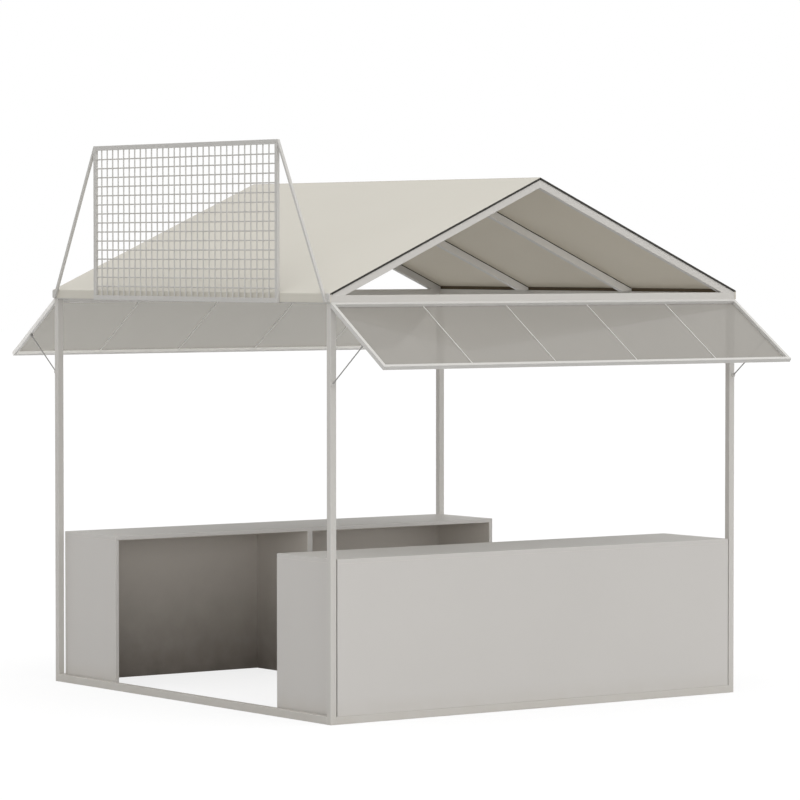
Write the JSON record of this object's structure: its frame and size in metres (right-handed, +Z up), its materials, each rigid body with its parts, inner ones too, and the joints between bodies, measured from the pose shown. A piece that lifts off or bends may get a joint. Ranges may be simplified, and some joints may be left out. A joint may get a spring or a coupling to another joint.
{
  "type": "market stall",
  "caption": "Open steel-framed market stall with a low gable roof, wire-mesh sign panel, glazed side awnings and two shop counters.",
  "frame": {"origin": "on the ground, at the middle of the square frame", "axes": "+X along the ridge towards the right counter, -Y towards the front with the sign panel, +Z up"},
  "size_m": [4.04, 3.029, 3.331],
  "materials": {
    "frame": "satin light grey powder coat on square steel tube",
    "roof_panel": "satin warm light grey composite sheet with a black core",
    "seal": "matt black tape and foam",
    "sign": "satin grey powder coat on welded wire and bar",
    "awning_frame": "satin pale grey powder coat",
    "awning_glass": "smooth grey-tinted glass",
    "counter": "smooth satin light grey paint on board"
  },
  "bodies": {
    "root": {"base_beam_front": "frame", "base_beam_back": "frame", "base_beam_left": "frame", "base_beam_right": "frame", "post_front_left": "frame", "post_front_right": "frame", "post_back_left": "frame", "post_back_right": "frame", "eave_beam_front": "frame", "eave_beam_back": "frame", "tie_beam_left": "frame", "tie_beam_right": "frame", "rafter_front_1": "frame", "rafter_front_2": "frame", "rafter_front_3": "frame", "rafter_front_4": "frame", "rafter_back_1": "frame", "rafter_back_2": "frame", "rafter_back_3": "frame", "rafter_back_4": "frame", "roof_panel_front": "roof_panel", "roof_panel_back": "roof_panel", "roof_seal_front": "seal", "roof_seal_back": "seal", "sign_frame": "sign", "sign_mesh_left": "sign", "sign_mesh_right": "sign", "sign_brace_left": "sign", "sign_brace_right": "sign", "awning_frame_left": "awning_frame", "awning_frame_right": "awning_frame", "awning_stays_left": "awning_frame", "awning_stays_right": "awning_frame", "awning_glass_left": "awning_glass", "awning_glass_right": "awning_glass", "counter_left_top": "counter", "counter_left_outer_panel": "counter", "counter_left_divider": "counter", "counter_left_end_front": "counter", "counter_left_end_back": "counter", "counter_right_top": "counter", "counter_right_outer_panel": "counter", "counter_right_divider": "counter", "counter_right_end_front": "counter", "counter_right_end_back": "counter"}
  },
  "joints": []
}
